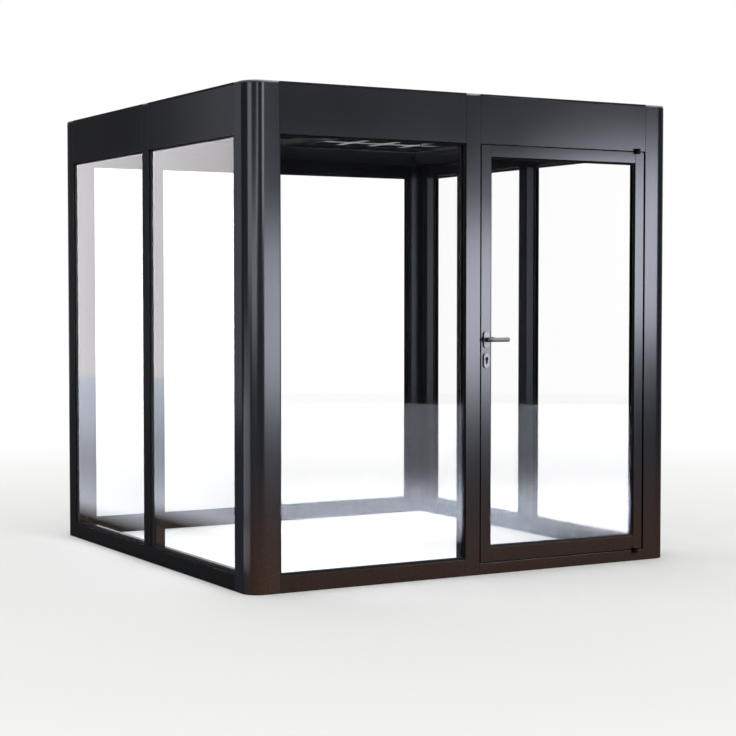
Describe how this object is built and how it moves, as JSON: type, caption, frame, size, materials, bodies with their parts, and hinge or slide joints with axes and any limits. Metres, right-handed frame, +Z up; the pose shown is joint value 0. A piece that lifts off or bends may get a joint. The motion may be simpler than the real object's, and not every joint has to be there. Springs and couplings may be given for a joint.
{
  "type": "solar greenhouse",
  "caption": "Flat-roofed glass garden greenhouse with an aluminium frame, a roof of solar glass and a hinged glass door with a lever handle.",
  "frame": {"origin": "middle of the whole outline, handle included, on the ground", "axes": "+X along the door wall to the hinge side, +Y from the door wall to the back, +Z up"},
  "size_m": [2.37, 2.426, 2.3],
  "materials": {
    "powder_coat": "smooth semi-gloss anthracite powder coat on aluminium",
    "clear_glass": "clear float glass units",
    "solar_glass": "glass-glass modules with dark square cells and clear gaps",
    "black_rubber": "matt black rubber",
    "black_metal": "satin black",
    "satin_steel": "satin brushed stainless steel",
    "cap_aluminium": "plain anodised aluminium"
  },
  "bodies": {
    "frame": {"corner_post_front_left": "powder_coat", "corner_post_front_right": "powder_coat", "corner_post_back_right": "powder_coat", "corner_post_back_left": "powder_coat", "mullion_front": "powder_coat", "mullion_right": "powder_coat", "mullion_back": "powder_coat", "mullion_left": "powder_coat", "header_front_left": "powder_coat", "header_front_right": "powder_coat", "header_right_front": "powder_coat", "header_right_back": "powder_coat", "header_back_right": "powder_coat", "header_back_left": "powder_coat", "header_left_back": "powder_coat", "header_left_front": "powder_coat", "sill_front_left": "powder_coat", "sill_right_front": "powder_coat", "sill_right_back": "powder_coat", "sill_back_right": "powder_coat", "sill_back_left": "powder_coat", "sill_left_back": "powder_coat", "sill_left_front": "powder_coat", "door_threshold": "powder_coat", "pane_front_left": "clear_glass", "pane_right_front": "clear_glass", "pane_right_back": "clear_glass", "pane_back_right": "clear_glass", "pane_back_left": "clear_glass", "pane_left_back": "clear_glass", "pane_left_front": "clear_glass", "glazing_gaskets": "black_rubber", "roof_beam_front": "powder_coat", "roof_beam_right": "powder_coat", "roof_beam_back": "powder_coat", "roof_beam_left": "powder_coat", "roof_centre_bar": "powder_coat", "solar_module_left": "solar_glass", "solar_module_right": "solar_glass", "roof_edge_trim": "black_rubber", "post_caps": "cap_aluminium", "frame_hinge_barrels": "black_metal", "strike_plate": "satin_steel"},
    "door_leaf": {"door_hinge_stile": "powder_coat", "door_lock_stile": "powder_coat", "door_top_rail": "powder_coat", "door_bottom_rail": "powder_coat", "door_pane": "clear_glass", "door_gasket": "black_rubber", "door_hinge_barrels": "black_metal", "handle_plates": "satin_steel", "lock_cylinder": "black_metal", "lock_faceplate": "satin_steel"},
    "lever": {"door_lever": "satin_steel"}
  },
  "joints": [
    {"name": "door_swing", "type": "hinge", "parent": "frame", "child": "door_leaf", "pos_m": [0.975, -1.169, 1.06], "axis": [0, 0, 1], "range_deg": [0, 110]},
    {"name": "lever_turn", "type": "hinge", "parent": "door_leaf", "child": "lever", "pos_m": [0.073, -1.157, 1.131], "axis": [0, 1, 0], "range_deg": [0, 40], "stiffness_Nm_per_rad": 2, "springref_deg": -17.19}
  ]
}
